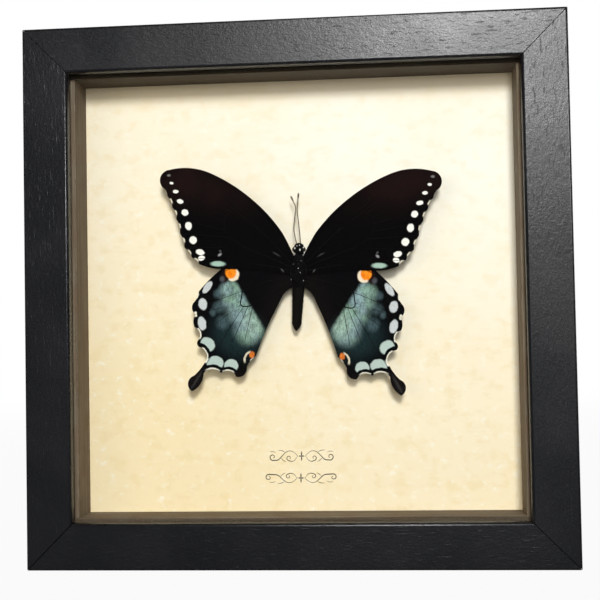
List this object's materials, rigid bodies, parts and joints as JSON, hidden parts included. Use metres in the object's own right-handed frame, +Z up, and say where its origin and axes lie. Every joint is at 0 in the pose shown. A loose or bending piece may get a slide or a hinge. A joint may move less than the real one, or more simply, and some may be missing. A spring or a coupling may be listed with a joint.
{
  "type": "butterfly display case",
  "caption": "Square black shadow-box case with a glazed front, a cream card ground, a pinned swallowtail butterfly, and turn buttons that hold the back board.",
  "frame": {"origin": "centre of the bottom rail's lower face, which the case stands on", "axes": "+X to the right as seen from the front, +Y from the front face to the back, +Z up"},
  "size_m": [0.165, 0.0352, 0.165],
  "materials": {
    "painted_moulding": "satin black paint over fine grain",
    "clear_glass": "clear picture glass",
    "spacer_strip": "matt taupe card facing",
    "parchment": "mottled parchment",
    "pinning_foam": "fine closed cells",
    "hardboard": "smooth brown hardboard",
    "zinc_steel": "zinc plated",
    "pin_steel": "polished",
    "black_rubber": "matt",
    "wing_membrane": "velvety scales, black with white, orange and blue-green markings",
    "insect_body": "fine hair"
  },
  "bodies": {
    "case": {"antenna_left": "insect_body", "antenna_right": "insect_body", "back_board": "hardboard", "butterfly_abdomen": "insect_body", "butterfly_head": "insect_body", "butterfly_thorax": "insect_body", "foam_board": "pinning_foam", "forewing_left": "wing_membrane", "forewing_right": "wing_membrane", "frame_rail_bottom": "painted_moulding", "frame_rail_left": "painted_moulding", "frame_rail_right": "painted_moulding", "frame_rail_top": "painted_moulding", "glass_pane": "clear_glass", "hanger_nails": "zinc_steel", "hindwing_left": "wing_membrane", "hindwing_right": "wing_membrane", "parchment_card": "parchment", "sawtooth_hanger": "zinc_steel", "spacer_bottom": "spacer_strip", "spacer_left": "spacer_strip", "spacer_right": "spacer_strip", "spacer_top": "spacer_strip", "specimen_pin": "pin_steel", "turn_button_screws": "zinc_steel", "v_nails": "zinc_steel", "wall_bumpers": "black_rubber"},
    "button_upper_left": {"turn_button_upper_left": "zinc_steel"},
    "button_upper_right": {"turn_button_upper_right": "zinc_steel"},
    "button_lower_left": {"turn_button_lower_left": "zinc_steel"},
    "button_lower_right": {"turn_button_lower_right": "zinc_steel"}
  },
  "joints": [
    {"name": "button_upper_left_turn", "type": "hinge", "parent": "case", "child": "button_upper_left", "pos_m": [-0.078, 0.01648, 0.124], "axis": [0, 1, 0], "continuous": true},
    {"name": "button_upper_right_turn", "type": "hinge", "parent": "case", "child": "button_upper_right", "pos_m": [0.078, 0.01648, 0.124], "axis": [0, 1, 0], "continuous": true},
    {"name": "button_lower_left_turn", "type": "hinge", "parent": "case", "child": "button_lower_left", "pos_m": [-0.078, 0.01648, 0.041], "axis": [0, 1, 0], "continuous": true},
    {"name": "button_lower_right_turn", "type": "hinge", "parent": "case", "child": "button_lower_right", "pos_m": [0.078, 0.01648, 0.041], "axis": [0, 1, 0], "continuous": true}
  ]
}
